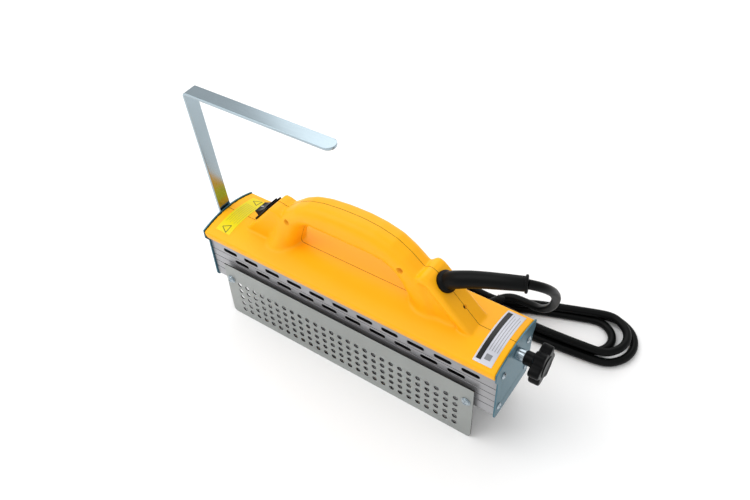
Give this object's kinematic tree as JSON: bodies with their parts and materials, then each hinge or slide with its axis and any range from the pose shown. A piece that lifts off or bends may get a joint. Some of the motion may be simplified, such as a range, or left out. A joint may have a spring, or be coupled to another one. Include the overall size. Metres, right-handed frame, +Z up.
{
  "type": "infrared paint remover",
  "caption": "Hand-held infrared heater for softening paint: ribbed aluminium housing with loop handle cover, perforated side guards, swinging flat bar and rubber mains lead.",
  "frame": {"origin": "centre of the machine's box on the surface that the guards' lower edges stand on, without the mains lead", "axes": "+X along the machine towards the star knob and the cord, -Y towards the left guard, +Z up"},
  "size_m": [0.4479, 0.2293, 0.2776],
  "materials": {
    "aluminium_profile": "brushed",
    "zinc_steel": "satin",
    "bright_steel": "satin",
    "guard_steel": "matt",
    "cover_plastic": "satin",
    "black_plastic": "satin",
    "black_rubber": "matt",
    "yellow_label": "gloss",
    "white_label": "gloss",
    "mirror_aluminium": "polished",
    "quartz": "clear",
    "resistance_wire": "matt",
    "ceramic": "matt",
    "wire_insulation": "satin"
  },
  "bodies": {
    "machine": {"housing": "aluminium_profile", "front_end_plate": "zinc_steel", "rear_end_plate": "zinc_steel", "front_plate_screws": "bright_steel", "rear_plate_screws": "bright_steel", "cover_left": "cover_plastic", "cover_right": "cover_plastic", "handle_screws": "bright_steel", "deck_screws": "bright_steel", "switch_body": "black_plastic", "warning_label": "yellow_label", "rating_label": "white_label", "reflector": "mirror_aluminium", "heat_shield": "zinc_steel", "lamp_bracket_front": "zinc_steel", "lamp_bracket_rear": "zinc_steel", "lamp_tube_left": "quartz", "lamp_tube_right": "quartz", "heating_coils": "resistance_wire", "ceramic_ends": "ceramic", "wire_grille": "bright_steel", "terminal_block": "ceramic", "inner_leads": "wire_insulation", "guard_left": "guard_steel", "guard_right": "guard_steel", "guard_spacers": "bright_steel", "guard_washers": "bright_steel", "guard_screws": "bright_steel", "bar_bolt": "bright_steel", "bar_washers": "bright_steel", "bar_nut": "bright_steel", "rear_stud": "bright_steel", "stud_nut": "bright_steel", "knob_spacer": "bright_steel", "strain_relief": "black_rubber", "mains_lead": "black_rubber", "lead_hank": "black_rubber", "lead_tie": "black_plastic", "lead_tail": "black_rubber", "plug_body": "black_rubber", "plug_pins": "bright_steel"},
    "rocker": {"switch_rocker": "black_plastic"},
    "bar": {"hanging_bar": "bright_steel"},
    "knob": {"star_knob": "black_plastic"}
  },
  "joints": [
    {"name": "rocker_tilt", "type": "hinge", "parent": "machine", "child": "rocker", "pos_m": [-0.12271, 0, 0.14784], "axis": [0, 1, 0], "range_deg": [-22, 0]},
    {"name": "bar_swing", "type": "hinge", "parent": "machine", "child": "bar", "pos_m": [-0.1924, 0, 0.1075], "axis": [1, 0, 0], "range_deg": [-81, 73]},
    {"name": "knob_turn", "type": "hinge", "parent": "machine", "child": "knob", "pos_m": [0.1876, 0, 0.1075], "axis": [1, 0, 0], "continuous": true}
  ]
}
